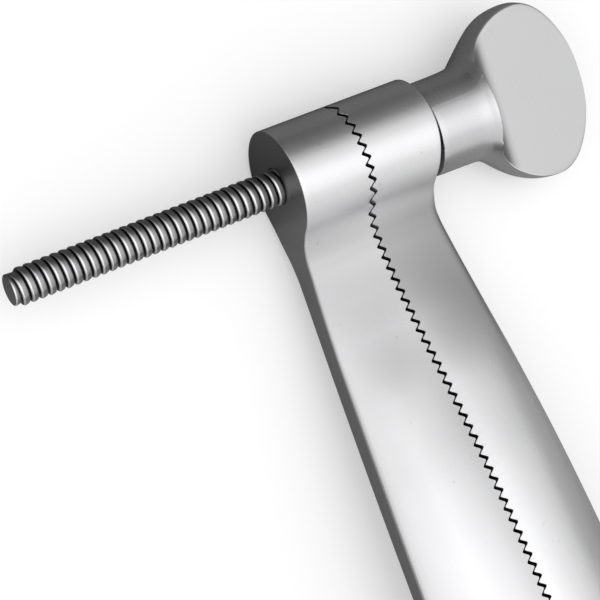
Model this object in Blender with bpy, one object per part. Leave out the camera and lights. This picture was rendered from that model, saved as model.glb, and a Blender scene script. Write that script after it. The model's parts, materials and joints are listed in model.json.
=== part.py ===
"""Ear cropping clamp: two arched jaw bars with meshing teeth, drawn together by two thumb screws.

+X points to the thumb heads, +Y runs along the jaws and +Z is up. The origin lies under the
middle of the closed clamp, on the surface that its four round bosses stand on.
Sizes are in metres and angles in degrees.
"""
import math

import bmesh
import bpy
from mathutils import Matrix, Vector

# Clearance between pieces that would touch
running_gap = 0.0003

# Bosses: a round boss at each end of each jaw, on the screw's axis
screw_spacing = 0.184
boss_radius = 0.0078
tapped_boss_length = 0.0103
plain_boss_length = 0.0115
boss_edge = 0.0003
boss_sides = 48

# Jaw bars: distances run from the screw's axis to the middle, and heights from the screw's axis up
waist_distance = 0.013
waist_crown = 0.0014
waist_shoulder = 0.00055
waist_underside = -0.00475
waist_half_width = 0.0107
middle_crown = 0.0112
middle_shoulder = 0.0051
middle_underside = 0.0012
middle_half_width = 0.0152
bar_edge = 0.0006
web_start = 0.002
web_sink = 0.00006
end_inset = 0.00015
bar_stations = 9
crown_steps = (-0.85, -0.55, -0.2, 0.2, 0.55, 0.85)

# How the arch climbs from the waist to the middle: share of the way along, share of the height
arch_line = ((0.0, 0.0), (0.13, 0.13), (0.25, 0.345), (0.41, 0.585), (0.62, 0.77), (1.0, 1.0))

# Teeth: upright ridges of V section along the whole split between the jaws
tooth_pitch = 0.00153
tooth_depth = 0.00104
jaw_gap = 0.00045

# Threaded rod
thread_diameter = 0.005
thread_pitch = 0.00125
thread_depth = 0.0005
thread_clearance = 0.00015
thread_steps = 12
thread_run_out = 0.0015
rod_reach = 0.0492
dog_length = 0.0010
dog_edge = 0.0003
dog_rise = 0.00005
rod_seat_depth = 0.0075

# Thumb head: a round neck, a flare, and a paddle with two flats
neck_start_radius = 0.0066
neck_end_radius = 0.00695
neck_length = 0.0093
flare_start = 0.0078
paddle_radius = 0.0125
paddle_length = 0.0180
paddle_thickness = 0.0054
head_turn = 9.0
corner_steps = 4
flat_steps = 6

# Turned outline of the paddle: share of its length from the flare's start, share of its radius,
# which starts at the neck's own radius
paddle_line = (
    (0.0, 0.0), (0.07, 0.17), (0.15, 0.37), (0.24, 0.56), (0.34, 0.75), (0.46, 0.92),
    (0.58, 1.0), (0.68, 0.97), (0.80, 0.69), (0.89, 0.34), (0.96, -0.12), (1.0, -0.58),
)

# Satin stainless steel
jaw_steel = (0.62, 0.62, 0.63, 1.0)
screw_steel = (0.55, 0.55, 0.56, 1.0)
steel_roughness = 0.28
sharp_angle = 30.0

half_spacing = screw_spacing / 2
rod_radius = thread_diameter / 2
root_radius = rod_radius - thread_depth
hole_radius = rod_radius + running_gap
neck_start = plain_boss_length + running_gap
neck_end = neck_start + neck_length
paddle_start = neck_start + flare_start
head_reach = paddle_start + paddle_length
split_x = (rod_reach - head_reach) / 2
cutter_margin = 0.003


def clear_scene():
    """Empty the scene, so that only this clamp is in it."""
    for item in list(bpy.data.objects):
        bpy.data.objects.remove(item, do_unlink=True)


def steel(name, colour):
    """A satin steel material."""
    material = bpy.data.materials.new(name)
    material.use_nodes = True
    shader = material.node_tree.nodes["Principled BSDF"]
    shader.inputs["Base Color"].default_value = colour
    shader.inputs["Metallic"].default_value = 1.0
    shader.inputs["Roughness"].default_value = steel_roughness
    return material


def smooth_line(points, along):
    """Height of a smooth line through the points, level at its first and last point."""
    slopes = [0.0]
    for before, after in zip(points, points[2:]):
        slopes.append((after[1] - before[1]) / (after[0] - before[0]))
    slopes.append(0.0)
    along = min(max(along, points[0][0]), points[-1][0])
    for index in range(len(points) - 1):
        (left, low), (right, high) = points[index], points[index + 1]
        if along <= right:
            break
    width = right - left
    t = (along - left) / width
    rise = t * t * (3 - 2 * t)
    bend = t * (1 - t) * (1 - t) * slopes[index] - t * t * (1 - t) * slopes[index + 1]
    return low + (high - low) * rise + width * bend


def mix(start, end, share):
    """The value that lies this share of the way from start to end."""
    return start + (end - start) * share


def new_object(name, bm, material=None, parent=None):
    """Turn a bmesh into an object of that name, with outward faces and smooth round sides."""
    bmesh.ops.recalc_face_normals(bm, faces=bm.faces)
    mesh = bpy.data.meshes.new(name)
    bm.to_mesh(mesh)
    bm.free()
    mesh.shade_smooth()
    mesh.set_sharp_from_angle(angle=math.radians(sharp_angle))
    item = bpy.data.objects.new(name, mesh)
    bpy.context.scene.collection.objects.link(item)
    if material:
        mesh.materials.append(material)
    item.parent = parent
    return item


def new_cutter(name, bm):
    """An object that only shapes others, and isn't a piece of the clamp."""
    cutter = new_object(name, bm)
    cutter.hide_render = True
    cutter.display_type = "WIRE"
    return cutter


def shape_by(item, operation, tool):
    """Add a Boolean that joins, cuts or trims the item with the tool."""
    modifier = item.modifiers.new(f"{operation.lower()} {tool.name}", "BOOLEAN")
    modifier.operation = operation
    modifier.solver = "EXACT"
    modifier.object = tool


def loft(rings):
    """A closed bmesh through rings of equally many points, capped at both ends."""
    bm = bmesh.new()
    rows = [[bm.verts.new(point) for point in ring] for ring in rings]
    count = len(rows[0])
    for near, far in zip(rows, rows[1:]):
        for index in range(count):
            after = (index + 1) % count
            bm.faces.new((near[index], near[after], far[after], far[index]))
    bm.faces.new(rows[0])
    bm.faces.new(reversed(rows[-1]))
    return bm


def cylinder(radius, start, end, sides, edge=0.0):
    """A bmesh cylinder along X from start to end, with its two rims cut back by edge."""
    bm = bmesh.new()
    place = Matrix.Translation(((start + end) / 2, 0, 0)) @ Matrix.Rotation(math.pi / 2, 4, "Y")
    bmesh.ops.create_cone(
        bm, cap_ends=True, segments=sides, radius1=radius, radius2=radius,
        depth=end - start, matrix=place,
    )
    if edge:
        rims = [e for e in bm.edges if abs(e.verts[0].co.x - e.verts[1].co.x) < edge]
        bmesh.ops.bevel(bm, geom=rims, offset=edge, segments=1, affect="EDGES")
    return bm


def bar_section(distance):
    """Crown, shoulder, underside and half width of the jaws at a distance from the screw's axis."""
    if distance < waist_distance:
        web_bottom = web_sink - math.sqrt(boss_radius ** 2 - web_start ** 2)
        share = (distance - web_start) / (waist_distance - web_start)
        boss_half_width = min(tapped_boss_length, plain_boss_length) - end_inset
        underside = mix(web_bottom, waist_underside, share)
        half_width = mix(boss_half_width, waist_half_width, share ** 2)
        return waist_crown, waist_shoulder, underside, half_width
    share = (distance - waist_distance) / (half_spacing - waist_distance)
    climb = smooth_line(arch_line, share)
    spread = 1 - (1 - share) ** 2
    return (
        mix(waist_crown, middle_crown, climb),
        mix(waist_shoulder, middle_shoulder, climb),
        mix(waist_underside, middle_underside, spread),
        mix(waist_half_width, middle_half_width, spread),
    )


def bar_ring(y):
    """Cross-section of the closed pair of jaws at one place along them."""
    crown, shoulder, underside, half_width = bar_section(half_spacing - abs(y))

    def top(share):
        return mix(crown, shoulder, share * share)

    inner = 1 - bar_edge / half_width
    left = [
        (-half_width + bar_edge, underside),
        (-half_width, underside + bar_edge),
        (-half_width, shoulder - bar_edge),
        (-half_width * inner, top(inner)),
    ]
    middle = [(half_width * share, top(share)) for share in crown_steps]
    right = [(-x, z) for x, z in reversed(left)]
    return [Vector((x, y, z)) for x, z in left + middle + right]


def bar_places():
    """Places along the jaws where the bar has a cross-section, the same both ways from the middle."""
    distances = [web_start, (web_start + waist_distance) / 2, waist_distance]
    for step in range(1, bar_stations + 1):
        distances.append(mix(waist_distance, half_spacing, step / bar_stations))
    places = [half_spacing - distance for distance in distances]
    return places[:-1] + [0.0] + [-place for place in reversed(places[:-1])]


def tooth_side(side):
    """A bmesh block on one side of the split, side -1 or 1, with the teeth along its inner face."""
    reach = half_spacing + boss_radius + cutter_margin
    teeth = 2 * math.ceil(reach / tooth_pitch)
    depth = boss_radius + middle_crown + cutter_margin
    far = side * (middle_half_width + tapped_boss_length + plain_boss_length)
    outline = []
    for step in range(2 * teeth + 1):
        ridge = tooth_depth / 2 if step % 2 else -tooth_depth / 2
        outline.append((ridge + side * jaw_gap / 2, (step - teeth) * tooth_pitch / 2))
    outline += [(far, outline[-1][1]), (far, outline[0][1])]
    return loft([[Vector((x, y, z)) for x, y in outline] for z in (-depth, depth)])


def turn_ring(x, radius):
    """A ring of points about the X axis, one for each step of the thread."""
    angles = [2 * math.pi * step / thread_steps for step in range(thread_steps)]
    return [Vector((x, radius * math.cos(a), radius * math.sin(a))) for a in angles]


def threaded_bar(start, end, grow, before, after):
    """A bmesh bar along X with a right-handed V thread from start to end.

    Its crest and root are larger than the rod's by grow. Before and after list rings, as place
    and radius, that go on from the two ends of the thread.
    """
    step_length = thread_pitch / thread_steps
    first = thread_steps * math.ceil((start + thread_pitch / 2) / thread_pitch)
    turns = math.floor((end - thread_pitch / 2 - first * step_length) / thread_pitch)
    count = thread_steps * turns
    bm = bmesh.new()

    def helix(radius, shift, steps):
        row = []
        for step in range(steps + 1):
            angle = 2 * math.pi * step / thread_steps
            x = (first + step) * step_length + shift
            row.append(bm.verts.new((x, radius * math.cos(angle), radius * math.sin(angle))))
        return row

    crests = helix(rod_radius + grow, 0.0, count)
    roots = helix(root_radius + grow, -thread_pitch / 2, count + thread_steps)
    for step in range(count):
        ahead = step + thread_steps
        bm.faces.new((roots[step], roots[step + 1], crests[step + 1], crests[step]))
        bm.faces.new((crests[step], crests[step + 1], roots[ahead + 1], roots[ahead]))

    def carry_on(rings, edge, thread_end):
        """Join a turn of the root to the plain rings, and close the step where the thread ends."""
        rows = [[bm.verts.new(point) for point in turn_ring(x, radius)] for x, radius in rings]
        near = rows[0]
        for step in range(thread_steps):
            bm.faces.new((edge[step], edge[step + 1], near[(step + 1) % thread_steps], near[step]))
        bm.faces.new((edge[0], near[0], edge[-1], thread_end))
        for inner, outer in zip(rows, rows[1:]):
            for step in range(thread_steps):
                after_step = (step + 1) % thread_steps
                bm.faces.new((inner[step], inner[after_step], outer[after_step], outer[step]))
        bm.faces.new(rows[-1])

    carry_on(before, roots[:thread_steps + 1], crests[0])
    carry_on(after, roots[-thread_steps - 1:], crests[-1])
    return bm


def rod_mesh():
    """Threaded rod: dog point, thread as far as the split, and a plain shank into the thumb head."""
    tip = -rod_reach
    thread_end = thread_run_out + thread_pitch
    shank_end = neck_start + rod_seat_depth - running_gap
    dog_radius = root_radius + dog_rise
    before = [(tip + dog_length, dog_radius), (tip + dog_edge, dog_radius), (tip, dog_radius - dog_edge)]
    after = [(thread_end + thread_depth, rod_radius), (shank_end, rod_radius)]
    return threaded_bar(tip + dog_length, thread_end, 0.0, before, after)


def tap_mesh():
    """The threaded hole through a tapped boss, as a cutter."""
    start = -tapped_boss_length - 2 * thread_pitch
    end = tooth_depth + 3 * thread_pitch
    radius = root_radius + thread_clearance
    return threaded_bar(
        start, end, thread_clearance,
        [(start - thread_pitch, radius)], [(end + thread_pitch, radius)],
    )


def head_ring(x, half_width, half_height, flat):
    """Cross-section of the thumb head: round, or with flats when flat is its half thickness."""
    corner = math.asin(min(1.0, paddle_thickness / 2 / half_width))
    ring = []
    for side in (1, -1):
        for step in range(corner_steps + 1):
            angle = mix(-corner, corner, step / corner_steps)
            ring.append((side * half_width * math.cos(angle), side * half_height * math.sin(angle)))
        for step in range(1, flat_steps):
            if flat:
                across = half_width * math.cos(corner) * mix(1, -1, step / flat_steps)
                ring.append((side * across, side * flat))
            else:
                angle = mix(corner, math.pi - corner, step / flat_steps)
                ring.append((side * half_width * math.cos(angle), side * half_height * math.sin(angle)))
    return [Vector((x, y, z)) for y, z in ring]


def head_mesh():
    """Thumb head: the neck, its flare and the flat paddle, lofted along the screw's axis."""
    flat = paddle_thickness / 2
    rings = [head_ring(neck_start, neck_start_radius, neck_start_radius, 0)]
    rings.append(head_ring(paddle_start, neck_end_radius, neck_end_radius, 0))
    wall = (neck_end - paddle_start) / paddle_length
    shares = sorted({share for share, _ in paddle_line[1:]} | {wall})
    for share in shares:
        reach = smooth_line(paddle_line, share)
        radius = mix(neck_end_radius, paddle_radius, reach)
        x = paddle_start + share * paddle_length
        if share <= wall:
            rings.append(head_ring(x, radius, neck_end_radius, 0))
        if share >= wall:
            rings.append(head_ring(x, radius, radius, flat))
    return loft(rings)


def make_jaw(name, side, material, bosses, holes):
    """One jaw: the half of the toothed bar and bosses on one side of the split, with its holes."""
    jaw = new_object(name, loft([bar_ring(y) for y in bar_places()]), material)
    block = new_cutter(f"{name}_teeth", tooth_side(side))
    for boss in bosses:
        shape_by(jaw, "UNION", boss)
    shape_by(jaw, "INTERSECT", block)
    for hole in holes:
        shape_by(jaw, "DIFFERENCE", hole)
    return [jaw, block]


def build():
    clear_scene()
    jaw_material = steel("jaw_steel", jaw_steel)
    screw_material = steel("screw_steel", screw_steel)
    ends = {1: half_spacing, 2: -half_spacing}

    bosses, taps, holes = [], [], []
    for number, y in ends.items():
        boss = cylinder(boss_radius, -tapped_boss_length, plain_boss_length, boss_sides, boss_edge)
        bosses.append(new_cutter(f"boss_{number}", boss))
        taps.append(new_cutter(f"tap_{number}", tap_mesh()))
        hole = cylinder(hole_radius, -cutter_margin, plain_boss_length + cutter_margin, boss_sides)
        holes.append(new_cutter(f"hole_{number}", hole))
        for cutter in (bosses[-1], taps[-1], holes[-1]):
            cutter.location.y = y

    centre = Vector((split_x, 0, boss_radius))
    for item in make_jaw("jaw_tapped", -1, jaw_material, bosses, taps):
        item.location = centre
    for item in make_jaw("jaw_plain", 1, jaw_material, bosses, holes):
        item.location = centre
    for cutter in bosses + taps + holes:
        cutter.location += centre

    for number, y in ends.items():
        axis = bpy.data.objects.new(f"screw_axis_{number}", None)
        bpy.context.scene.collection.objects.link(axis)
        axis.location = centre + Vector((0, y, 0))
        new_object(f"threaded_rod_{number}", rod_mesh(), screw_material, axis)
        head = new_object(f"thumb_head_{number}", head_mesh(), screw_material, axis)
        head.rotation_euler.x = math.radians(head_turn)
        seat = cylinder(hole_radius, neck_start - cutter_margin, neck_start + rod_seat_depth, boss_sides)
        seat_cutter = new_cutter(f"rod_seat_{number}", seat)
        seat_cutter.parent = axis
        shape_by(head, "DIFFERENCE", seat_cutter)


build()
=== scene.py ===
"""Ear cropping clamp: the finished steel surfaces, studio and camera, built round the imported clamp.

Everything is in metres, in the clamp's own frame: +X points to the thumb heads, +Y runs along the
jaws and +Z is up. The clamp stands on its four round bosses at z = 0.
"""

import json
import math
from functools import partial

import bpy
import numpy as np
from bpy.props import FloatProperty, FloatVectorProperty, PointerProperty
from mathutils import Euler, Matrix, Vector


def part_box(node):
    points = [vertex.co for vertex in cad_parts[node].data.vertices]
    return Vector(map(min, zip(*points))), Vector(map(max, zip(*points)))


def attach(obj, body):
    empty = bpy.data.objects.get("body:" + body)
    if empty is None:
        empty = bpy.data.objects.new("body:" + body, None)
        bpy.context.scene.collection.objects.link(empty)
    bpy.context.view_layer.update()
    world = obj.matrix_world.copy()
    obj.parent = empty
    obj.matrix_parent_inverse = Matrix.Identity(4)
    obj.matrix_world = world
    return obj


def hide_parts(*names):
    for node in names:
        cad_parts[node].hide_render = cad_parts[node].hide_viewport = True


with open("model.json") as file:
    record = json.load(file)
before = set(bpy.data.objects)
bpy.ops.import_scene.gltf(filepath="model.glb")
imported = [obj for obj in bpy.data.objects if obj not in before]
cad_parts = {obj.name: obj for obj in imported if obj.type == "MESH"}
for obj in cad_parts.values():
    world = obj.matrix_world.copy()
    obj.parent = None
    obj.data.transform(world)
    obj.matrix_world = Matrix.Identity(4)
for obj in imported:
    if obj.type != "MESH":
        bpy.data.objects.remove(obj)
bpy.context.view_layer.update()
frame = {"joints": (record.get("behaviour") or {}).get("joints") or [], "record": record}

bl_info = {
    "name": "Ear cropping clamp",
    "version": (1, 0, 0),
    "blender": (4, 5, 0),
    "location": "3D View > Sidebar > Clamp",
    "description": "Toothed jaws, threaded rods and thumb heads of an ear cropping clamp",
    "category": "Object",
}

# Kinds of property that repeat
LengthProperty = partial(FloatProperty, unit="LENGTH")
ColourProperty = partial(FloatVectorProperty, subtype="COLOR")

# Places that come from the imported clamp
joints = {joint["name"]: joint for joint in frame["joints"]}
split_x, half_spacing, axis_height = joints["screw_1_turn"]["pos_m"]
boss_face_x = frame["record"]["mounts"][0]["pos_m"][0]
ends = {1: 1, 2: -1}

# How far a bore's cutter reaches past the piece, and its steps round
bore_margin, bore_steps = 0.003, 64

# Edges that turn by more than this stay crisp
crisp_angle = math.radians(30.0)

# Places along the jaw are counted from the screw's axis towards the middle.
# Where the boss's circle runs into the underside, and how soft the next corner is
web_start, web_corner = 0.00227, 0.0002

# How far the bar's side stays behind the tapped boss's end
side_inset = 0.00005

# Where the waist's roof shape ends and the arch's domes are full
roof_end, dome_start = 0.018, 0.036

# Where the plain boss's end begins to draw back, and over what length
slant_start, slant_run = -0.0025, 0.009

# Where the boss's rim ends and the bar's own edge is full
rim_end, edge_start = 0.0068, 0.011

# Room that the teeth take up across the split, and their sharpness, where 1 is a triangle
tooth_room, tooth_sharpness = 0.0012, 0.86

# Rings to a tooth, and the rings' angles round a boss's end, past the angle where even steps stop
rings_to_tooth = 10
even_end_angle, end_angles = math.radians(20), np.radians(np.arange(17.5, 1.0, -2.0))

# Points of a jaw's ring: up the toothed face, over the top, round an edge, down the side, below
face_points, top_points, edge_points, side_points, below_points = 5, 16, 4, 9, 6

# Steps in one turn of the thread, and across one ridge
turn_steps, ridge_steps = 36, 24

# How far the collar at a rod's tip stands above the thread's root
collar_rise = 0.00015

# Points of a thumb head's ring: down one side, over one flat, and round each bend between them
head_side_points, head_top_points, head_bend_points = 11, 33, 3

# Radius of a thumb head's last ring, width of its wall's cliff, and room kept free past its arc
tip_radius, cliff_width, arc_margin = 0.0002, 0.00002, 0.0001

# Length over which the finish changes at a thumb head's wall, and of the painted shade at its foot
wall_step, foot_shade_length = 0.0004, 0.0030

# Where the jaws' finish and painted shade change along the jaw: each pair is the start and end of
# a change. The fillet only changes the roughness; the hollow and the strip are painted shade
fillet_rise, fillet_fall = (0.0035, 0.0060), (0.009, 0.014)
hollow_rise, hollow_fall = (0.006, 0.011), (0.013, 0.032)
strip_rise, strip_fall = (0.024, 0.040), (0.045, 0.070)

# The same across, from the split: the split itself, the tapped bar's strip of painted shade beside
# it, and how far out the plain bar's painted shade in the hollow is darkest, with how much longer it
# lasts there
split_step, strip_side = (-0.0003, 0.0003), (-0.0085, -0.0035)
outer_run, outer_delay = 0.010, 0.008

# Where along Y the dark sheet turns darker
sheet_step = (0.080, 0.098)

# The shader's values for steel, and for a sheet without gloss
steel, matt = {"Metallic": 1.0}, {"Roughness": 1.0, "Specular IOR Level": 0.0}


class JawSizes(bpy.types.PropertyGroup):
    """Sizes of the two jaw bars. Distances run from the screw's axis to the middle."""

    boss_radius: LengthProperty(
        name="Boss radius", description="Radius of the round bosses", default=axis_height)
    tapped_boss_length: LengthProperty(
        name="Tapped boss", description="Length of the threaded bosses from the split",
        default=split_x - boss_face_x)
    plain_boss_length: LengthProperty(
        name="Plain boss", description="Length of the plain bosses from the split", default=0.0115)
    waist_distance: LengthProperty(
        name="Waist distance", description="Where the bar is lowest, next to the boss", default=0.013)
    waist_crown: LengthProperty(
        name="Waist crown", description="Height of the split at the waist, above the screw's axis",
        default=0.0014)
    waist_shoulder: LengthProperty(
        name="Waist shoulder", description="Height of the bar's top edge at the waist", default=0.0003)
    waist_underside: LengthProperty(
        name="Waist underside", description="Height of the bar's underside at the waist",
        default=-0.00475)
    waist_half_width: LengthProperty(
        name="Waist width", description="Half the width of the closed bars at the waist",
        default=0.0107)
    middle_crown: LengthProperty(
        name="Middle crown", description="Height of the split at the middle of the arch",
        default=0.0112)
    middle_shoulder: LengthProperty(
        name="Middle shoulder", description="Height of the bar's top edge at the middle",
        default=0.0051)
    middle_underside: LengthProperty(
        name="Middle underside", description="Height of the bar's underside at the middle",
        default=0.0012)
    middle_half_width: LengthProperty(
        name="Middle width", description="Half the width of the closed bars at the middle",
        default=0.0152)
    boss_fillet: LengthProperty(
        name="Boss fillet", description="Radius of the hollow where the boss runs into the bar",
        default=0.006)
    shoulder_run: LengthProperty(
        name="Shoulder run", description="Distance over which the boss's end runs into the bar's side",
        default=0.0013)
    waist_bulge: LengthProperty(
        name="Waist bulge", description="Rise over a parabola at the waist, negative as on a roof",
        default=-0.0003)
    arch_bulge: LengthProperty(
        name="Arch bulge", description="Rise of each bar's own dome over a parabola along the arch",
        default=0.0006)
    bar_edge: LengthProperty(
        name="Bar edge", description="Rounding of the tapped bar's long edges", default=0.0006)
    plain_bar_edge: LengthProperty(
        name="Plain bar edge", description="Rounding of the plain bar's long edges", default=0.0014)
    end_slant: LengthProperty(
        name="End slant", description="How far the plain boss's end draws back towards the bar",
        default=0.0013)
    boss_edge: LengthProperty(
        name="Boss edge", description="Rounding of the boss's rim", default=0.0002)
    tooth_pitch: LengthProperty(
        name="Tooth pitch", description="Distance from one tooth to the next", default=0.00153)
    tooth_depth: LengthProperty(
        name="Tooth depth", description="Depth of the teeth", default=0.00080)
    tooth_edge: LengthProperty(
        name="Tooth edge", description="Bevel along the top of the teeth", default=0.00004)
    jaw_gap: LengthProperty(
        name="Jaw gap", description="Gap between the closed jaws", default=0.00046)
    tooth_slip: LengthProperty(
        name="Tooth slip", description="How far one jaw's teeth lie along the other's, from wear",
        default=0.00018)


class RodSizes(bpy.types.PropertyGroup):
    """Sizes of the two threaded rods."""

    diameter: LengthProperty(
        name="Diameter", description="Outer diameter of the thread", default=0.005)
    pitch: LengthProperty(
        name="Pitch", description="Distance that the thread climbs in one turn", default=0.00125)
    depth: LengthProperty(
        name="Depth", description="Depth of the thread", default=0.0005)
    dog_length: LengthProperty(
        name="Dog point", description="Length of the plain point at the rod's tip", default=0.0003)
    overhang: LengthProperty(
        name="Overhang", description="How far the point reaches past the packed rod", default=0.0005)
    dog_edge: LengthProperty(
        name="Point edge", description="Rounding of the tip", default=0.00025)
    run_out: LengthProperty(
        name="Run-out", description="Where the thread ends, from the split", default=0.00275)
    clearance: LengthProperty(
        name="Clearance", description="Gap between the rod and the holes that it runs in",
        default=0.00015)
    hole_gap: LengthProperty(
        name="Hole gap", description="Gap between the rod and its plain holes", default=0.0003)


class HeadSizes(bpy.types.PropertyGroup):
    """Sizes of the two thumb heads. Places along the screw are counted from the split."""

    neck_start: LengthProperty(
        name="Neck start", description="Place of the neck's end face", default=0.0121)
    neck_start_radius: LengthProperty(
        name="Neck radius", description="Radius of the neck next to the boss", default=0.0066)
    neck_end_radius: LengthProperty(
        name="Neck end radius", description="Radius of the neck next to the flare", default=0.00695)
    neck_edge: LengthProperty(
        name="Neck edge", description="Rounding of the neck's rim", default=0.0002)
    wall_place: LengthProperty(
        name="Wall", description="Place where the flats begin", default=0.0211)
    wall_fillet: LengthProperty(
        name="Wall fillet", description="Radius of the hollow at the foot of the wall", default=0.0032)
    thickness: LengthProperty(
        name="Thickness", description="Thickness of the paddle between its flats", default=0.0054)
    rim_edge: LengthProperty(
        name="Rim edge", description="Rounding of the paddle's rim", default=0.00030)
    turn: FloatProperty(
        name="Turn", description="Turn of the paddle about the screw",
        default=math.radians(9.0), subtype="ANGLE")


class SteelFinish(bpy.types.PropertyGroup):
    """Colours and gloss of the satin steel."""

    jaw_colour: ColourProperty(
        name="Jaws", description="Colour of the jaws' polished steel", default=(0.76, 0.76, 0.77))
    # Painted shade in the hollow next to the boss and in the strip beside the split
    hollow_shade_colour: ColourProperty(
        name="Hollows", description="Colour of the hollows that the polishing wheel doesn't reach",
        default=(0.35, 0.35, 0.355))
    # Painted shade on the jaw faces that turn away from up
    steep_shade_colour: ColourProperty(
        name="Ground faces", description="Colour of the ground ends and sides",
        default=(0.34, 0.34, 0.345))
    head_colour: ColourProperty(
        name="Heads", description="Colour of the thumb heads' steel", default=(0.64, 0.64, 0.65))
    flat_colour: ColourProperty(
        name="Flats", description="Colour of the thumb heads' milled flats",
        default=(0.51, 0.51, 0.515))
    # Painted highlight on the rods' ridge shoulders and the paddles' rim edges
    highlight_colour: ColourProperty(
        name="Crests", description="Colour of the thread's worn crests", default=(0.90, 0.90, 0.91))
    rod_colour: ColourProperty(
        name="Rods", description="Colour of the rods' steel", default=(0.32, 0.32, 0.325))
    roughness: FloatProperty(
        name="Roughness", description="Roughness of the satin finish", default=0.25, subtype="FACTOR")


class StudioSettings(bpy.types.PropertyGroup):
    """Floor, dark sheet, ceiling, softbox and camera."""

    floor_colour: ColourProperty(
        name="Floor", description="Colour of the pale floor", default=(0.68, 0.68, 0.68))
    floor_glow: FloatProperty(
        name="Floor glow", description="Light that the floor gives to the camera and to reflections",
        default=0.36)
    # Tones of painted shade that the steel mirrors in place of the floor
    sheet_colours: FloatVectorProperty(
        name="Dark sheet", description="Tones of the dark sheet beside the clamp and past its +Y end",
        default=(0.34, 0.16), size=2)
    ceiling_strength: FloatProperty(
        name="Ceiling", description="Strength of the bright ceiling's light", default=1.5)
    lamp_place: FloatVectorProperty(
        name="Lamp place", description="Where the softbox hangs",
        default=(0.10, -0.15, 0.80), subtype="TRANSLATION")
    lamp_target: FloatVectorProperty(
        name="Lamp target", description="The place that the softbox faces",
        default=(0.0, 0.09, 0.0), subtype="TRANSLATION")
    lamp_size: LengthProperty(
        name="Lamp size", description="Side of the square softbox", default=0.50)
    lamp_power: FloatProperty(
        name="Lamp power", description="Power of the softbox", default=0.60, unit="POWER")
    camera_place: FloatVectorProperty(
        name="Camera place", description="Where the camera stands",
        default=(-0.1155, 0.0844, 0.2768), subtype="TRANSLATION")
    camera_turn: FloatVectorProperty(
        name="Camera turn", description="How the camera is turned about X, Y and Z",
        default=tuple(math.radians(a) for a in (7.12, -20.79, -23.37)), subtype="EULER")
    lens: FloatProperty(
        name="Lens", description="Focal length in millimetres, on a sensor 36 mm wide", default=130.9)


# Heights of the arch from the waist to the middle: share of the way, share of the height
arch_line = ((0.0, 0.0), (0.13, 0.13), (0.25, 0.345), (0.41, 0.585), (0.62, 0.77), (1.0, 1.0))

# Ridge of the thread from one root to the next: share of the pitch, share of the depth
thread_line = (
    (0.0, 0.0), (0.05, 0.32), (0.12, 0.70), (0.22, 0.93), (0.33, 1.0), (0.56, 0.89), (0.79, 0.68),
    (0.93, 0.27), (1.0, 0.0),
)

# Turned outline of flare and paddle: place from the split and radius
paddle_line = (
    (0.0200, 0.00695), (0.0210, 0.00758), (0.0220, 0.0084), (0.0229, 0.00925), (0.0240, 0.0102),
    (0.0256, 0.01130), (0.0275, 0.01212), (0.0296, 0.0125), (0.0315, 0.01238), (0.0334, 0.0114),
    (0.0350, 0.0097), (0.0364, 0.0073), (0.0374, 0.0044), (0.0379, 0.0),
)

# Tone of the ceiling along Y and across X, as the direction's part and the tone
ceiling_along = (
    (-1.0, 0.55), (-0.7, 0.70), (-0.45, 0.92), (-0.2, 1.0), (0.0, 0.95), (0.2, 0.76), (0.4, 0.65),
    (0.55, 0.40), (0.75, 0.15), (1.0, 0.07),
)
ceiling_across = (
    (-1.0, 0.6), (-0.6, 0.9), (-0.3, 1.0), (0.25, 1.0), (0.45, 0.86), (0.7, 0.72), (0.85, 0.6),
    (1.0, 0.3),
)

# Half size and height of the floor, and of the dark sheet that lies on it
floor_half, floor_height = 6.0, -0.00002
sheet_half, sheet_height = 5.9, -0.00001


def smoothstep(low, high, value):
    """0 below low, 1 above high, and a smooth S between them."""
    t = np.clip((value - low) / (high - low), 0.0, 1.0)
    return t * t * (3 - 2 * t)


def mix(start, end, share):
    """The value that lies this share of the way from start to end."""
    return start + (end - start) * share


def smooth_line(points, along):
    """Cubic curve through the points, as heights over along, level at its first and last point."""
    places, heights = np.array(points).T
    slopes = np.zeros(len(points))
    slopes[1:-1] = (heights[2:] - heights[:-2]) / (places[2:] - places[:-2])
    along = np.clip(along, places[0], places[-1])
    left = np.clip(np.searchsorted(places, along, side="right") - 1, 0, len(points) - 2)
    width = places[left + 1] - places[left]
    t = (along - places[left]) / width
    rise = t * t * (3 - 2 * t)
    bend = t * (1 - t) ** 2 * slopes[left] - t * t * (1 - t) * slopes[left + 1]
    return mix(heights[left], heights[left + 1], rise) + width * bend


def smooth_curve(points, steps, after):
    """Catmull-Rom curve through the points: each piece leaves along the chord of its neighbours.

    After is a point past the last one, which sets the curve's last direction.
    """
    points = np.array(points)
    before = 2 * points[0] - points[1]
    line = np.vstack((before, points, after))
    t = np.linspace(0.0, 1.0, steps, endpoint=False)[None, :, None]
    a, b, c, d = (line[i:len(line) - 3 + i, None, :] for i in range(4))
    pieces = b + t * (c - a) / 2 + t * t * (2 * a - 5 * b + 4 * c - d) / 2
    pieces = pieces + t ** 3 * (3 * b - a - 3 * c + d) / 2
    return np.vstack((pieces.reshape(-1, 2), points[-1]))


def new_piece(name, places, faces):
    """A mesh object with smooth round sides and crisp edges, from arrays of points and faces."""
    mesh = bpy.data.meshes.new(name)
    mesh.from_pydata(places, [], faces)
    mesh.validate()
    mesh.shade_smooth()
    mesh.set_sharp_from_angle(angle=crisp_angle)
    piece = bpy.data.objects.new(name, mesh)
    bpy.context.scene.collection.objects.link(piece)
    return piece


def strip(near, far):
    """Faces between two equal lines, or rows of lines, of point numbers."""
    return np.stack((near[:-1], near[1:], far[1:], far[:-1]), -1).reshape(-1, 4).tolist()


def flat_sheet(name, half, height):
    """A level square of eight by eight faces that face up."""
    line = np.linspace(-half, half, 9)
    x, y = np.meshgrid(line, line, indexing="ij")
    points = np.stack((x, y, np.full_like(x, height)), -1).reshape(-1, 3)
    number = np.arange(x.size).reshape(x.shape)
    return new_piece(name, points, strip(number[:, :-1], number[:, 1:]))


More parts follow.
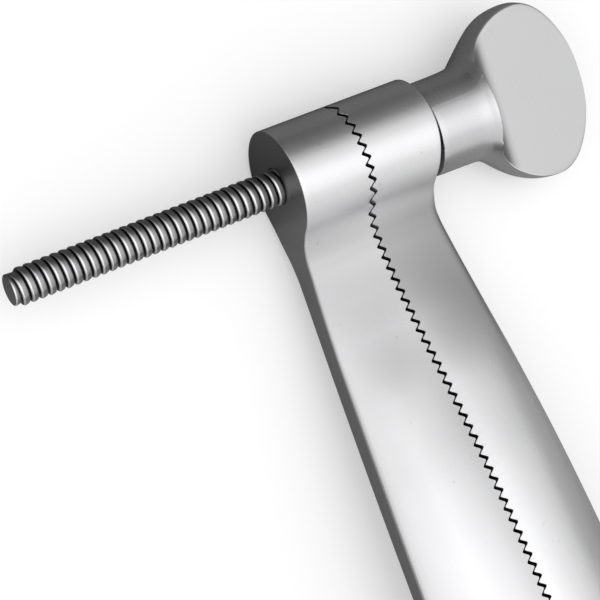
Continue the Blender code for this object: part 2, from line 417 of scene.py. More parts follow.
def closed_grid(grid, outward=True):
    """Points and faces of a tube of rings, capped at both ends. Grid is rings by points by 3."""
    rings, count = grid.shape[:2]
    number = np.arange(rings * count).reshape(rings, count)
    near, far = number[:-1], number[1:]
    quads = np.stack((near, np.roll(near, -1, 1), np.roll(far, -1, 1), far), -1).reshape(-1, 4)
    faces = [*quads.tolist(), number[0][::-1].tolist(), number[-1].tolist()]
    if not outward:
        faces = [face[::-1] for face in faces]
    return grid.reshape(-1, 3), faces


def cut(piece, cutters):
    """Cut closed meshes out of a piece, and keep the result as its own mesh."""
    for cutter in cutters:
        modifier = piece.modifiers.new(cutter.name, "BOOLEAN")
        modifier.operation = "DIFFERENCE"
        modifier.solver = "MANIFOLD"
        modifier.object = cutter
    depsgraph = bpy.context.evaluated_depsgraph_get()
    result = bpy.data.meshes.new_from_object(piece.evaluated_get(depsgraph))
    piece.modifiers.clear()
    result.set_sharp_from_angle(angle=crisp_angle)
    plain, piece.data = piece.data, result
    result.name = plain.name
    bpy.data.meshes.remove(plain)
    for cutter in cutters:
        bpy.data.objects.remove(cutter)


def bar_form(sizes, distance):
    """Crown, shoulder, underside and half width of the bars at distances from the screw's axis.

    From the waist to the middle each is its waist value plus a share of its rise. Between boss
    and waist the underside is a straight web that leaves the boss, and the two undersides meet
    in a soft corner: the smaller of both, rounded off. The half width narrows there on a parabola.
    """
    share = (distance - sizes.waist_distance) / (half_spacing - sizes.waist_distance)
    climb = smooth_line(arch_line, share)
    spread = 1 - (1 - np.clip(share, -0.2, 1.0)) ** 2
    crown = mix(sizes.waist_crown, sizes.middle_crown, climb)
    shoulder = mix(sizes.waist_shoulder, sizes.middle_shoulder, climb)
    below = mix(sizes.waist_underside, sizes.middle_underside, spread)
    touch_height = -math.sqrt(sizes.boss_radius ** 2 - web_start ** 2)
    web_share = (distance - web_start) / (sizes.waist_distance - web_start)
    web = mix(touch_height, sizes.waist_underside, web_share)
    underside = (web + below - np.sqrt((web - below) ** 2 + web_corner ** 2)) / 2
    boss_half_width = sizes.tapped_boss_length - side_inset
    narrow = mix(boss_half_width, sizes.waist_half_width, np.clip(web_share, 0, 1) ** 2)
    wide = mix(sizes.waist_half_width, sizes.middle_half_width, np.clip(spread, 0, 1))
    return crown, shoulder, underside, np.where(share < 0, narrow, wide)


def jaw_top(sizes, across, distance):
    """Height of the jaw's top above the screw's axis, at a place across and along the jaw.

    Near the axis it is the boss's circle. A hollow arc that touches the circle carries it down
    to the bar, whose top is a parabola across, from the crown to the shoulder, plus a bulge
    that turns the waist's roof shape into a dome on each bar further along.
    """
    crown, shoulder, _, half_width = bar_form(sizes, distance)
    share = np.clip(across / half_width, 0, 1)
    bulge = mix(sizes.waist_bulge, sizes.arch_bulge, smoothstep(roof_end, dome_start, distance))
    bar = mix(crown, shoulder, share ** 2) + 4 * bulge * share * (1 - share)
    radius, hollow = sizes.boss_radius, sizes.boss_fillet
    centre = np.sqrt((radius + hollow) ** 2 - np.minimum(bar + hollow, radius) ** 2)
    boss = np.sqrt(np.maximum(radius ** 2 - distance ** 2, 0))
    arc = bar + hollow - np.sqrt(np.maximum(hollow ** 2 - (distance - centre) ** 2, 0))
    touch = centre * radius / (radius + hollow)
    return np.where(distance < touch, boss, np.where(distance < centre, arc, bar))


def jaw_bottom(sizes, distance):
    """Height of the jaw's underside: the boss's circle, or the bar where that lies further out."""
    _, _, underside, _ = bar_form(sizes, distance)
    circle = -np.sqrt(np.maximum(sizes.boss_radius ** 2 - distance ** 2, 0))
    return np.where(distance < web_start, circle, underside)


def jaw_side(sizes, boss_length, distance, height):
    """Half width of the jaw: the boss's flat end inside its circle, easing to the bar's side."""
    _, _, _, half_width = bar_form(sizes, distance)
    from_axis = np.sqrt(distance ** 2 + height ** 2)
    outside = smoothstep(sizes.boss_radius, sizes.boss_radius + sizes.shoulder_run, from_axis)
    return mix(boss_length, half_width, np.where(distance < 0, 0.0, outside))


def tooth_line(sizes, side, y):
    """Place of the jaw's toothed face across the split: a triangle wave with rounded tips."""
    slip = side * sizes.tooth_slip / 2
    swing = np.cos(2 * np.pi * (y - slip) / sizes.tooth_pitch)
    wave = np.arcsin(tooth_sharpness * swing) / math.asin(tooth_sharpness)
    return side * sizes.jaw_gap / 2 - sizes.tooth_depth / 2 * wave


def jaw_stations(sizes):
    """Places along the jaw: ten to a tooth, and even steps of angle round the boss's ends."""
    step = sizes.tooth_pitch / rings_to_tooth
    straight = half_spacing + sizes.boss_radius * math.cos(even_end_angle)
    count = int(straight / step)
    outer = half_spacing + sizes.boss_radius * np.cos(end_angles)
    even = np.arange(-count, count + 1) * step
    return np.concatenate((-outer[::-1], even, outer))


def corner_curve(before, corner, after, steps):
    """Points on a parabola from the last one before a corner to the first one after it.

    Before, corner and after are pairs of coordinates. So is the result, without the ends.
    """
    t = np.linspace(0, 1, steps + 2)[1:-1]
    lines = zip(before, corner, after)
    return [(1 - t) ** 2 * a[:, -1:] + 2 * t * (1 - t) * b + t * t * c[:, :1] for a, b, c in lines]


def jaw_surface(sizes, side):
    """One jaw as rings across it, one for each station along it.

    Each ring runs up the toothed face, out over the top, round the top edge, down the side,
    round the bottom edge and back along the underside. Side is -1 for the tapped jaw. The
    plain boss's end draws back with the square of the way along its slant.
    """
    y = jaw_stations(sizes)[:, None]
    distance = half_spacing - np.abs(y)
    boss_length, bar_edge = sizes.tapped_boss_length, sizes.bar_edge
    if side > 0:
        bar_edge = sizes.plain_bar_edge
        slant = np.clip((distance - slant_start) / slant_run, 0, 1) ** 2
        boss_length = sizes.plain_boss_length - sizes.end_slant * slant
    tooth = side * tooth_line(sizes, side, y)
    low = jaw_bottom(sizes, distance)

    # The rim's height depends on its place across, which a first guess of 10 mm finds
    side_guess = jaw_side(sizes, boss_length, distance, jaw_top(sizes, 0.01, distance))
    rim_height = jaw_top(sizes, side_guess, distance)
    rim = jaw_side(sizes, boss_length, distance, rim_height)
    foot = jaw_side(sizes, boss_length, distance, low)
    edge = mix(sizes.boss_edge, bar_edge, smoothstep(rim_end, edge_start, distance))
    edge = np.minimum(edge, 0.4 * (rim_height - low))

    bevel = np.minimum(sizes.tooth_edge, 0.2 * (rim_height - low))
    face_share = np.linspace(0, 1, face_points)
    face_top = jaw_top(sizes, np.maximum(tooth, 0), distance) - bevel
    face_z = mix(low, face_top, face_share)
    face_x = np.broadcast_to(tooth, face_z.shape)

    across = np.linspace(0, 1, top_points)
    over_x = np.hstack((tooth + bevel, mix(tooth_room, rim - edge, across)))
    over_z = jaw_top(sizes, np.maximum(over_x, 0), distance)

    # The girdle parts the side where it leaves the boss's circle, and stays off both edges
    side_top, side_low = rim_height - edge, low + edge
    girdle = -np.sqrt(np.maximum(sizes.boss_radius ** 2 - distance ** 2, 0))
    height = side_top - side_low
    girdle = np.clip(girdle, side_low + 0.1 * height, side_top - 0.4 * height)
    down = np.linspace(1, 0, side_points)
    side_z = np.hstack((mix(girdle, side_top, down), mix(side_low, girdle, down[1:])))
    side_x = jaw_side(sizes, boss_length, distance, side_z)

    top_x, top_z = corner_curve((over_x, over_z), (rim, rim_height), (side_x, side_z), edge_points)
    back = np.linspace(1, 0, below_points)
    under_x = np.hstack((mix(tooth_room, foot - edge, back), tooth))
    under_z = np.broadcast_to(low, under_x.shape)
    low_x, low_z = corner_curve((side_x, side_z), (foot, low), (under_x, under_z), edge_points)

    x = np.hstack((face_x[:, 1:], over_x, top_x, side_x, low_x, under_x))
    z = np.hstack((face_z[:, 1:], over_z, top_z, side_z, low_z, under_z))
    ys = np.broadcast_to(y, x.shape)
    return np.stack((split_x + side * x, ys, axis_height + z), -1)


def round_rings(places, radii, steps, centre_y):
    """Rings about a screw's axis: each point turns by an even angle at its ring's radius."""
    angle = 2 * np.pi * np.arange(steps) / steps
    x = np.broadcast_to(split_x + np.array(places)[:, None], (len(places), steps))
    y = centre_y + np.array(radii)[:, None] * np.cos(angle)
    z = axis_height + np.array(radii)[:, None] * np.sin(angle)
    return np.stack((x, y, z), -1)


def rod_hole(name, rods, start, end, centre_y):
    """Cutter for a plain hole round a rod, from start to end."""
    radius = rods.diameter / 2 + rods.hole_gap
    rings = round_rings((start, end), (radius, radius), bore_steps, centre_y)
    return new_piece(name, *closed_grid(rings))


def thread_surface(rods, centre_y, start, end, grow, before, after):
    """Points and faces of a bar with a right-handed thread from start to end.

    A ridge profile climbs one pitch in each turn: at turn angle a and profile place p from one
    root to the next, x = first + pitch * (a / turn + p - 0.5), and the radius is the root's plus
    the ridge's height, which climbs steeply on the tip's side and falls slowly on the head's.
    The ridge grows from a fifth of its height in the first quarter turn, and fades the same way
    at the end. Grow widens the whole bar. Before and after list the rings that close it, as
    place and radius.
    """
    steps, columns, pitch = turn_steps, ridge_steps, rods.pitch
    first = pitch * math.ceil((start + pitch / 2) / pitch)
    turns = math.floor((end - pitch / 2 - first) / pitch)
    count = steps * turns
    root = rods.diameter / 2 - rods.depth + grow

    k = np.arange(count + steps + 1)[:, None]
    p = np.arange(columns) / columns
    angle = 2 * np.pi * k / steps
    x = first + pitch * (k / steps + p - 0.5)
    fade = 0.2 + 0.8 * smoothstep(0, steps / 4, k) * (1 - smoothstep(count - steps / 4, count, k))
    ridge = smooth_line(thread_line, p)
    radius = np.where(k <= count, root + rods.depth * ridge * fade, root)
    grid = np.stack((
        split_x + x,
        centre_y + radius * np.cos(angle),
        axis_height + radius * np.sin(angle),
    ), -1)

    number = np.arange((count + 1) * columns).reshape(count + 1, columns)
    tail = (count + 1) * columns + np.arange(steps)
    roots = np.concatenate((number[:, 0], tail))
    faces = strip(number[:, :-1], number[:, 1:]) + strip(number[:, -1], roots[steps:])
    points = np.vstack((grid[:count + 1].reshape(-1, 3), grid[count + 1:, 0]))

    def close(rings, edge, ridge_end, flip):
        """Join a turn of the root to plain rings, and fill the flat end of the ridge."""
        nonlocal points
        places, radii = zip(*rings)
        ring_points = round_rings(places, radii, steps, centre_y)
        index = len(points) + np.arange(len(rings) * steps).reshape(len(rings), steps)
        points = np.vstack((points, ring_points.reshape(-1, 3)))
        closed = np.hstack((index, index[:, :1]))
        made = strip(edge, closed[0])
        made.append([index[0, 0], *ridge_end[::-1]])
        for near, far in zip(closed, closed[1:]):
            made += strip(near, far)
        made.append(index[-1].tolist())
        return [face[::-1] for face in made] if flip else made

    start_ridge = [*number[0].tolist(), int(roots[steps])]
    end_ridge = [*number[-1].tolist(), int(roots[-1])]
    faces += close(before, roots[:steps + 1], start_ridge, True)
    faces += close(after, roots[-steps - 1:], end_ridge, False)
    return points, faces


def head_surface(heads, centre_y):
    """A thumb head as rings along the screw.

    Each ring is a circle of the turned outline's radius, cut off by the two flats. At the wall
    before the flats the ring's top drops to a hollow arc, which runs out level on the flat.
    """
    flat, hollow = heads.thickness / 2, heads.wall_fillet
    angle = np.radians((0, 30, 60, 90))
    rim = heads.neck_start + heads.neck_edge * (1 - np.cos(angle))
    rim_radius = heads.neck_start_radius - heads.neck_edge * (1 - np.sin(angle))

    # The neck widens slowly at first: a step's share is its part of the way that is left
    neck = np.linspace(rim[-1], paddle_line[0][0], 10)
    share = np.diff(neck)[:-1] / (neck[-1] - neck[:-2])
    neck_radius = mix(heads.neck_start_radius, heads.neck_end_radius, share)
    turned = np.column_stack((np.append(rim, neck[1:-1]), np.append(rim_radius, neck_radius)))
    beyond = (paddle_line[-2][0], -paddle_line[-2][1])
    outline = smooth_curve(paddle_line, 6, beyond)
    outline[-1, 1] = tip_radius
    line = np.vstack((turned, outline))

    bevel, wall = heads.rim_edge, heads.wall_place
    cliff = wall + cliff_width

    # How far the top drops at the wall's own rings. A drop of 1 reaches the flat
    drops = {wall - bevel: 0.0, wall - 0.3 * bevel: 0.3 * bevel, wall: bevel, cliff: 1.0}
    arc = wall + hollow * (1 - np.cos(np.radians(np.linspace(8, 90, 12))))
    plain = line[:, 0][(line[:, 0] < wall - 1.5 * bevel) | (line[:, 0] > arc[-1] + arc_margin)]
    places = np.sort(np.concatenate((plain, list(drops), arc)))
    places = np.append(places[:-1], line[-1, 0])
    radius = np.interp(places, line[:, 0], line[:, 1])[:, None]
    from_foot = np.clip(wall + hollow - places, 0, hollow)
    lid = flat + hollow - np.sqrt(hollow ** 2 - from_foot ** 2)
    drop = np.array([drops.get(place, 0.0 if place < wall else 1.0) for place in places])

    lid, drop = lid[:, None], drop[:, None]
    corner = np.arcsin(np.clip(lid / radius, 0, 0.98))
    margin = np.minimum(bevel / radius, 0.3 * corner)
    side = mix(-(corner - margin), corner - margin, np.linspace(0, 1, head_side_points))
    side_v, side_w = radius * np.cos(side), radius * np.sin(side)
    reach = np.maximum(radius * np.cos(corner) - bevel, 0.2 * radius)
    top_v = reach * np.linspace(1, -1, head_top_points)

    # The top is the circle before the wall, and the flat's lid past it
    round_top = radius * np.sqrt(np.maximum(1 - (top_v / radius) ** 2, 0))
    top_w = np.minimum(round_top, np.maximum(lid, round_top - drop))
    tip_v, tip_w = radius * np.cos(corner), radius * np.sin(corner)
    bend_v, bend_w = corner_curve((side_v, side_w), (tip_v, tip_w), (top_v, top_w), head_bend_points)
    v = np.hstack((side_v, bend_v, top_v, -bend_v[:, ::-1]))
    w = np.hstack((side_w, bend_w, top_w, bend_w[:, ::-1]))
    v, w = np.hstack((v, -v)), np.hstack((w, -w))
    turn = heads.turn
    x = np.broadcast_to(split_x + places[:, None], v.shape)
    y = centre_y + v * math.cos(turn) - w * math.sin(turn)
    z = axis_height + v * math.sin(turn) + w * math.cos(turn)
    return np.stack((x, y, z), -1)


class Signal:
    """A socket of a shader. Sums, differences, products and powers of signals add Math nodes."""

    def __init__(self, socket):
        self.socket = socket

    def node(self, kind, settings, inputs, outlet=0):
        """Add a node: its settings first, then its sockets' values or links."""
        tree = self.socket.id_data
        made = tree.nodes.new(kind)
        for name, value in settings.items():
            setattr(made, name, value)
        for name, value in inputs.items():
            if isinstance(value, Signal):
                tree.links.new(value.socket, made.inputs[name])
            else:
                made.inputs[name].default_value = value
        return Signal(made.outputs[outlet])

    def math(self, operation, first, second):
        """Add a Math node on two values."""
        return self.node("ShaderNodeMath", {"operation": operation}, {0: first, 1: second})

    def __add__(self, other):
        return self.math("ADD", self, other)

    def __sub__(self, other):
        return self.math("SUBTRACT", self, other)

    def __rsub__(self, other):
        return self.math("SUBTRACT", other, self)

    def __mul__(self, other):
        return self.math("MULTIPLY", self, other)

    def __truediv__(self, other):
        return self.math("DIVIDE", self, other)

    def __pow__(self, other):
        return self.math("POWER", self, other)

    def __abs__(self):
        return self.math("ABSOLUTE", self, 0.0)

    __radd__, __rmul__ = __add__, __mul__


def noise(coordinates, scale, detail=2.0):
    """Soft noise from 0 to 1 over coordinates that are stretched by scale first."""
    stretched = coordinates.node(
        "ShaderNodeVectorMath", {"operation": "MULTIPLY"}, {0: coordinates, 1: scale})
    return stretched.node(
        "ShaderNodeTexNoise", {}, {"Vector": stretched, "Scale": 1.0, "Detail": detail})


def clamp(signal):
    """The signal, held between 0 and 1."""
    return signal.node("ShaderNodeClamp", {}, {"Value": signal})


def blend_colours(share, first, second):
    """First colour where share is 0, second where it is 1."""
    return share.node("ShaderNodeMix", {"data_type": "RGBA"}, {"Factor": share, 6: first, 7: second}, 2)


def new_material(name, values):
    """A material, its shader with these values, and signals of place and facing direction."""
    material = bpy.data.materials.new(name)
    material.use_nodes = True
    shader = material.node_tree.nodes["Principled BSDF"]
    for socket, value in values.items():
        shader.inputs[socket].default_value = value
    own = material.node_tree.nodes.new("ShaderNodeTexCoord").outputs
    return material, shader, Signal(own["Object"]), Signal(own["Normal"])


def feed(signal, shader, name):
    """Link a signal to one of the shader's sockets."""
    signal.socket.id_data.links.new(signal.socket, shader.inputs[name])


def feed_steel(shader, colour, roughness, grain, distance):
    """Feed a steel's colour and roughness, and let its grain raise the surface, as bump."""
    bump = grain.node("ShaderNodeBump", {}, {"Height": grain, "Strength": 1.0, "Distance": distance})
    for name, signal in (("Base Color", colour), ("Roughness", roughness), ("Normal", bump)):
        feed(signal, shader, name)


def tinted(colour, factor):
    """A colour made lighter or darker, with full alpha."""
    return tuple(min(1.0, channel * factor) for channel in colour) + (1.0,)


def cover(colour, *layers):
    """Lay colours over the first in turn. A layer is its share, its colour and its factor."""
    for share, layer, factor in layers:
        colour = blend_colours(share, colour, tinted(layer, factor))
    return colour


def ease(signal, low, high, start=0.0, end=1.0):
    """Carry a signal smoothly from start at low to end at high."""
    return signal.node(
        "ShaderNodeMapRange", {"interpolation_type": "SMOOTHSTEP"},
        {"Value": signal, "From Min": low, "From Max": high, "To Min": start, "To Max": end})


def band(signal, rise, fall):
    """1 between two places of a signal: it eases in over rise and out over fall."""
    return ease(signal, *rise) * ease(signal, *fall, 1.0, 0.0)


def ramp(signal, stops):
    """Tone of a signal from -1 to 1, through stops of a signal and its tone."""
    share = signal * 0.5 + 0.5
    made = share.node("ShaderNodeValToRGB", {}, {"Fac": share})
    colours = made.socket.node.color_ramp
    colours.interpolation = "EASE"
    elements = colours.elements
    while len(elements) < len(stops):
        elements.new(0.5)
    for element, (place, tone) in zip(elements, stops):
        element.position = place * 0.5 + 0.5
        element.color = (tone, tone, tone, 1.0)
    return made


def part_of(signal, name):
    """The X, Y or Z part of a signal that holds a vector."""
    return signal.node("ShaderNodeSeparateXYZ", {}, {"Vector": signal}, name)


def satin_jaw_steel(finish):
    """Jaw steel: a fine grain along the bars, soft clouds of gloss, and small dark pits.

    The hollow next to the boss is painted darker, as painted shade, most of all on the plain bar's
    outer side, and made more matt. A strip of the tapped bar beside the split is painted a little
    greyer, as painted shade, and faces that turn away from up, the ends, sides, underside and
    toothed faces, are painted dark, as painted shade, and made duller.
    """
    material, shader, place, facing = new_material("satin jaw steel", steel)
    # Painted shade: faces that turn away from up, the ends, sides, underside and toothed faces, are
    # painted dark; the same mask makes them duller
    shaded = ease(part_of(facing, "Z"), 0.15, 0.45, 1.0, 0.0)
    distance = half_spacing - abs(part_of(place, "Y"))
    across = part_of(place, "X") - split_x
    fillet = band(distance, fillet_rise, fillet_fall)
    # Painted shade in the hollow next to the boss, darkest and longest on the plain bar's outer side
    outer = clamp(across / outer_run)
    hollow = ease(distance, *hollow_rise) * ease(distance - outer * outer_delay, *hollow_fall, 1.0, 0.0)
    hollow = hollow * (ease(across, *split_step) * 0.2 + ease(across, 0.0, outer_run) * 0.2 + 0.58)
    # Painted shade: a greyer strip on the tapped bar beside the split
    strip = band(across, strip_side, split_step) * ease(distance, *strip_rise)
    strip = strip * ease(distance, *strip_fall, 0.29, 0.18)
    grain = noise(place, (2600.0, 420.0, 2600.0), 3.0)
    clouds = noise(place, (150.0, 90.0, 150.0))
    pits = clamp(noise(place, (900.0, 900.0, 900.0), 1.0) * 10.0 - 7.3)
    tone = clamp(grain * 0.35 + clouds * 0.65)
    colour = cover(
        tinted(finish.jaw_colour, 0.93), (tone, finish.jaw_colour, 1.06),
        (pits * 0.35, finish.jaw_colour, 0.6), (hollow, finish.hollow_shade_colour, 1.0),
        (strip, finish.hollow_shade_colour, 1.0), (shaded, finish.steep_shade_colour, 1.0))
    dull = hollow * 0.08 + fillet * 0.25 + shaded * 0.12
    roughness = grain * 0.07 + clouds * 0.09 + dull + (finish.roughness - 0.08)
    feed_steel(shader, colour, roughness, grain + clouds * 3.0, 0.000004)
    return material


def turned_head_steel(finish, heads):
    """Thumb head steel: fine turned lines round it, soft clouds, and milled flats.

    The flats are painted darker towards the foot of the wall, as painted shade, and the rim edges
    round them that don't face +X carry a painted highlight.
    """
    material, shader, place, facing = new_material("turned head steel", steel)
    wall = split_x + heads.wall_place
    lines = noise(place, (5200.0, 260.0, 260.0), 3.0)
    clouds = noise(place, (130.0, 130.0, 130.0))
    tone = clamp(lines * 0.4 + clouds * 0.6)
    along, level = part_of(place, "X"), abs(part_of(facing, "Z"))
    paddle = ease(along, wall, wall + wall_step)
    flat = paddle * ease(level, 0.35, 0.60)
    # Painted shade: the flats darken towards the foot of the wall
    foot = flat * ease(along, wall, wall + foot_shade_length, 1.0, 0.0)
    # Painted highlight: a bright line on the paddle's rim edges that don't face +X
    rim = band(level, (0.30, 0.50), (0.82, 0.94)) * ease(part_of(facing, "X"), 0.0, 0.15, 1.0, 0.0)
    colour = cover(
        tinted(finish.head_colour, 0.93), (tone, finish.head_colour, 1.06),
        (flat, finish.flat_colour, 1.0), (foot, finish.flat_colour, 0.4),
        (paddle * rim, finish.highlight_colour, 1.0))
    roughness = lines * 0.08 + clouds * 0.08 + (finish.roughness - 0.07)
    feed_steel(shader, colour, roughness, lines + clouds * 2.0, 0.000002)
    return material


def rolled_rod_steel(finish, rods):
    """Rod steel: painted highlights on the ridges' shoulders, over painted black shade on the tip's
    side.

    The roots are duller and painted darker, as painted shade, and the +Y side is painted darker, as
    painted shade, with its highlights faded.
    """
    material, shader, place, facing = new_material("rolled rod steel", steel)
    off_y = abs(part_of(place, "Y")) - half_spacing
    off_z = part_of(place, "Z") - axis_height
    radius = (off_y * off_y + off_z * off_z) ** 0.5
    depth = clamp((rods.diameter / 2 - radius) / rods.depth)
    grain = noise(place, (900.0, 4200.0, 4200.0), 3.0)
    # Painted shade: the roots are painted darker, mixed with random grain; the same mask makes them
    # duller
    dull = clamp(depth * 0.6 + grain * 0.3 - 0.1)
    lean = part_of(facing, "X")
    # Painted shade: the side that faces +Y is painted darker, and the highlights fade there
    plus_y_shade = ease(part_of(facing, "Y"), 0.1, 0.7)
    # Painted highlight: a bright line on each ridge's shoulder towards the tip
    shoulder = band(lean, (-0.90, -0.80), (-0.24, -0.10)) * (1 - plus_y_shade * 0.95)
    # Painted shade: near black on the steepest side of each ridge towards the tip
    tip_flank_shade = band(lean, (-0.99, -0.97), (-0.90, -0.80))
    colour = cover(
        tinted(finish.rod_colour, 1.30), (dull, finish.rod_colour, 0.70),
        (shoulder, finish.highlight_colour, 1.0), (tip_flank_shade, finish.rod_colour, 0.15),
        (plus_y_shade * 0.45, finish.rod_colour, 0.35))
    roughness = dull * 0.18 + grain * 0.1 + (finish.roughness - 0.02)
    feed_steel(shader, colour, roughness, grain, 0.000004)
    return material


def finish_piece(piece, material, body, node):
    """Give a piece its steel, hang it on its body and let it stand for its node."""
    piece.data.materials.clear()
    piece.data.materials.append(material)
    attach(piece, body)
    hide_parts(node)


class CLAMP_OT_make_jaws(bpy.types.Operator):
    """Make the two toothed jaws with their bosses and bores"""

    bl_idname = "clamp.make_jaws"
    bl_label = "Make jaws"

    def execute(self, context):
        sizes, rods = context.scene.clamp_jaws, context.scene.clamp_rods
        material = satin_jaw_steel(context.scene.clamp_finish)
        for name, side, body in (("tapped", -1, "tapped_jaw"), ("plain", 1, "plain_jaw")):
            points, faces = closed_grid(jaw_surface(sizes, side), outward=side > 0)
            piece = new_piece(f"{name}_jaw_bar", points, faces)
            cut(piece, [self.bore(sizes, rods, name, number) for number in ends])
            finish_piece(piece, material, body, f"jaw_{name}")
        return {"FINISHED"}

    def bore(self, sizes, rods, name, number):
        """Cutter for one hole: threaded through a tapped boss, or round through a plain one."""
        centre_y = ends[number] * half_spacing
        if name == "plain":
            end = sizes.plain_boss_length + bore_margin
            return rod_hole(f"bore_{number}", rods, -bore_margin, end, centre_y)
        start = -sizes.tapped_boss_length - 2 * rods.pitch
        end = sizes.tooth_depth + 3 * rods.pitch
        radius = rods.diameter / 2 - rods.depth + rods.clearance
        points, faces = thread_surface(
            rods, centre_y, start, end, rods.clearance,
            [(start - rods.pitch, radius)], [(end + rods.pitch, radius)])
        return new_piece(f"tap_{number}", points, faces)


class CLAMP_OT_make_rods(bpy.types.Operator):
    """Make the two threaded rods"""

    bl_idname = "clamp.make_rods"
    bl_label = "Make rods"

    def execute(self, context):
        rods = context.scene.clamp_rods
        material = rolled_rod_steel(context.scene.clamp_finish, rods)
        for number, sign in ends.items():
            low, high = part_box(f"threaded_rod_{number}")
            tip, shank_end = low.x - split_x - rods.overhang, high.x - split_x
            root = rods.diameter / 2 - rods.depth + collar_rise
            rounding = [
                (tip + rods.dog_edge * (1 - math.cos(a)), root - rods.dog_edge * (1 - math.sin(a)))
                for a in np.radians((90, 65, 40, 20, 0))]
            before = [(tip + rods.dog_length, root), *rounding]
            after = [(rods.run_out + rods.depth, rods.diameter / 2), (shank_end, rods.diameter / 2)]
            points, faces = thread_surface(
                rods, sign * half_spacing, tip + rods.dog_length, rods.run_out, 0.0, before, after)
            piece = new_piece(f"screw_rod_{number}", points, faces)
            finish_piece(piece, material, f"thumb_screw_{number}", f"threaded_rod_{number}")
        return {"FINISHED"}


class CLAMP_OT_make_heads(bpy.types.Operator):
    """Make the two thumb heads: neck, flare and flat paddle"""

    bl_idname = "clamp.make_heads"
    bl_label = "Make thumb heads"

    def execute(self, context):
        heads, rods = context.scene.clamp_heads, context.scene.clamp_rods
        material = turned_head_steel(context.scene.clamp_finish, heads)
        for number, sign in ends.items():
            centre_y = sign * half_spacing
            points, faces = closed_grid(head_surface(heads, centre_y))
            piece = new_piece(f"thumb_paddle_{number}", points, faces)
            _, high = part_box(f"threaded_rod_{number}")
            start, end = heads.neck_start - bore_margin, high.x - split_x + rods.hole_gap
            cut(piece, [rod_hole(f"seat_{number}", rods, start, end, centre_y)])
            finish_piece(piece, material, f"thumb_screw_{number}", f"thumb_head_{number}")
        return {"FINISHED"}


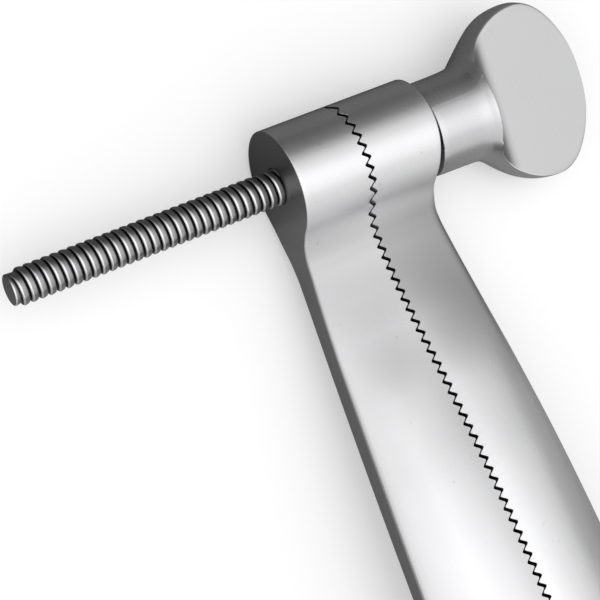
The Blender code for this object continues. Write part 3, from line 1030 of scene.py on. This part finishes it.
class CLAMP_OT_make_studio(bpy.types.Operator):
    """Make the pale floor, the bright ceiling, the softbox and the camera"""

    bl_idname = "clamp.make_studio"
    bl_label = "Make studio"

    def execute(self, context):
        studio = context.scene.clamp_studio
        self.floor(studio)
        self.world(context.scene, studio)
        self.dark_sheet(studio)
        self.lamp(context.scene, studio)
        self.camera(context.scene, studio)
        context.scene.view_settings.view_transform = "Standard"
        return {"FINISHED"}

    def floor(self, studio):
        """A wide pale sheet just under the bosses, with a faint cloudy tone and a faint glow."""
        floor = flat_sheet("studio_floor", floor_half, floor_height)
        material, shader, place, _ = new_material("pale floor", matt)
        cloud = noise(place, (3.0, 3.0, 3.0))
        tone = studio.floor_colour
        feed(cover(tinted(tone, 0.995), (cloud, tone, 1.005)), shader, "Base Color")
        rays = material.node_tree.nodes.new("ShaderNodeLightPath").outputs
        camera, glossy, through = (
            Signal(rays[f"Is {kind} Ray"]) for kind in ("Camera", "Glossy", "Transmission"))
        feed(clamp(camera + glossy + through) * studio.floor_glow, shader, "Emission Color")
        shader.inputs["Emission Strength"].default_value = 1.0
        floor.data.materials.append(material)

    def dark_sheet(self, studio):
        """A dark sheet on the floor that only the steel mirrors: painted shade in its reflections,
        darkest past the +Y end.
        """
        sheet = flat_sheet("dark_sheet", sheet_half, sheet_height)
        # Painted shade: the steel mirrors this dark sheet in place of the floor round the clamp
        material, shader, place, _ = new_material("dark cloth", matt)
        beside, past_end = ((tone, tone, tone, 1.0) for tone in studio.sheet_colours)
        past = ease(part_of(place, "Y"), *sheet_step)
        feed(blend_colours(past, beside, past_end), shader, "Base Color")
        sheet.data.materials.append(material)
        sheet.visible_camera = sheet.visible_diffuse = sheet.visible_shadow = False

    def world(self, scene, studio):
        """A bright ceiling that darkens towards +Y, and a little towards -Y and the two sides."""
        world = bpy.data.worlds.new("studio room")
        world.use_nodes = True
        scene.world = world
        tree = world.node_tree
        place = Signal(tree.nodes.new("ShaderNodeTexCoord").outputs["Generated"])
        along = ramp(part_of(place, "Y"), ceiling_along)
        across = ramp(part_of(place, "X"), ceiling_across)
        feed(along * across, tree.nodes["Background"], "Color")
        tree.nodes["Background"].inputs["Strength"].default_value = studio.ceiling_strength

    def lamp(self, scene, studio):
        """A square softbox overhead, which the steel doesn't mirror."""
        light = bpy.data.lights.new("overhead softbox", "AREA")
        light.shape = "RECTANGLE"
        light.size = light.size_y = studio.lamp_size
        light.energy = studio.lamp_power
        lamp = bpy.data.objects.new("overhead softbox", light)
        scene.collection.objects.link(lamp)
        lamp.location = studio.lamp_place
        aim = Vector(studio.lamp_target) - Vector(studio.lamp_place)
        lamp.rotation_euler = aim.to_track_quat("-Z", "Y").to_euler()
        lamp.visible_glossy = False

    def camera(self, scene, studio):
        """The camera that the photograph was taken with."""
        data = bpy.data.cameras.new("camera")
        data.sensor_width = 36.0
        data.lens = studio.lens
        data.clip_start = 0.01
        data.clip_end = 50.0
        camera = bpy.data.objects.new("camera", data)
        scene.collection.objects.link(camera)
        camera.location = studio.camera_place
        camera.rotation_euler = Euler(studio.camera_turn)
        scene.camera = camera


class CLAMP_PT_sidebar(bpy.types.Panel):
    """Buttons that make the clamp's pieces, above their sizes"""

    bl_label = "Ear cropping clamp"
    bl_idname = "CLAMP_PT_sidebar"
    bl_space_type = "VIEW_3D"
    bl_region_type = "UI"
    bl_category = "Clamp"

    def draw(self, context):
        for operator, names in buttons:
            self.layout.operator(operator.bl_idname)
            column = self.layout.column(align=True)
            for group in names:
                values = getattr(context.scene, group)
                for name in type(values).__annotations__:
                    column.prop(values, name)


buttons = (
    (CLAMP_OT_make_studio, ("clamp_studio",)),
    (CLAMP_OT_make_jaws, ("clamp_jaws", "clamp_finish")),
    (CLAMP_OT_make_rods, ("clamp_rods",)),
    (CLAMP_OT_make_heads, ("clamp_heads",)),
)
groups = {
    "clamp_jaws": JawSizes,
    "clamp_rods": RodSizes,
    "clamp_heads": HeadSizes,
    "clamp_finish": SteelFinish,
    "clamp_studio": StudioSettings,
}
classes = (*groups.values(), *(operator for operator, _ in buttons), CLAMP_PT_sidebar)


def register():
    for item in classes:
        bpy.utils.register_class(item)
    for name, group in groups.items():
        setattr(bpy.types.Scene, name, PointerProperty(type=group))


def unregister():
    for name in groups:
        delattr(bpy.types.Scene, name)
    for item in reversed(classes):
        bpy.utils.unregister_class(item)


def main():
    register()
    bpy.ops.clamp.make_studio()
    bpy.ops.clamp.make_jaws()
    bpy.ops.clamp.make_rods()
    bpy.ops.clamp.make_heads()


if __name__ == "__main__":
    main()
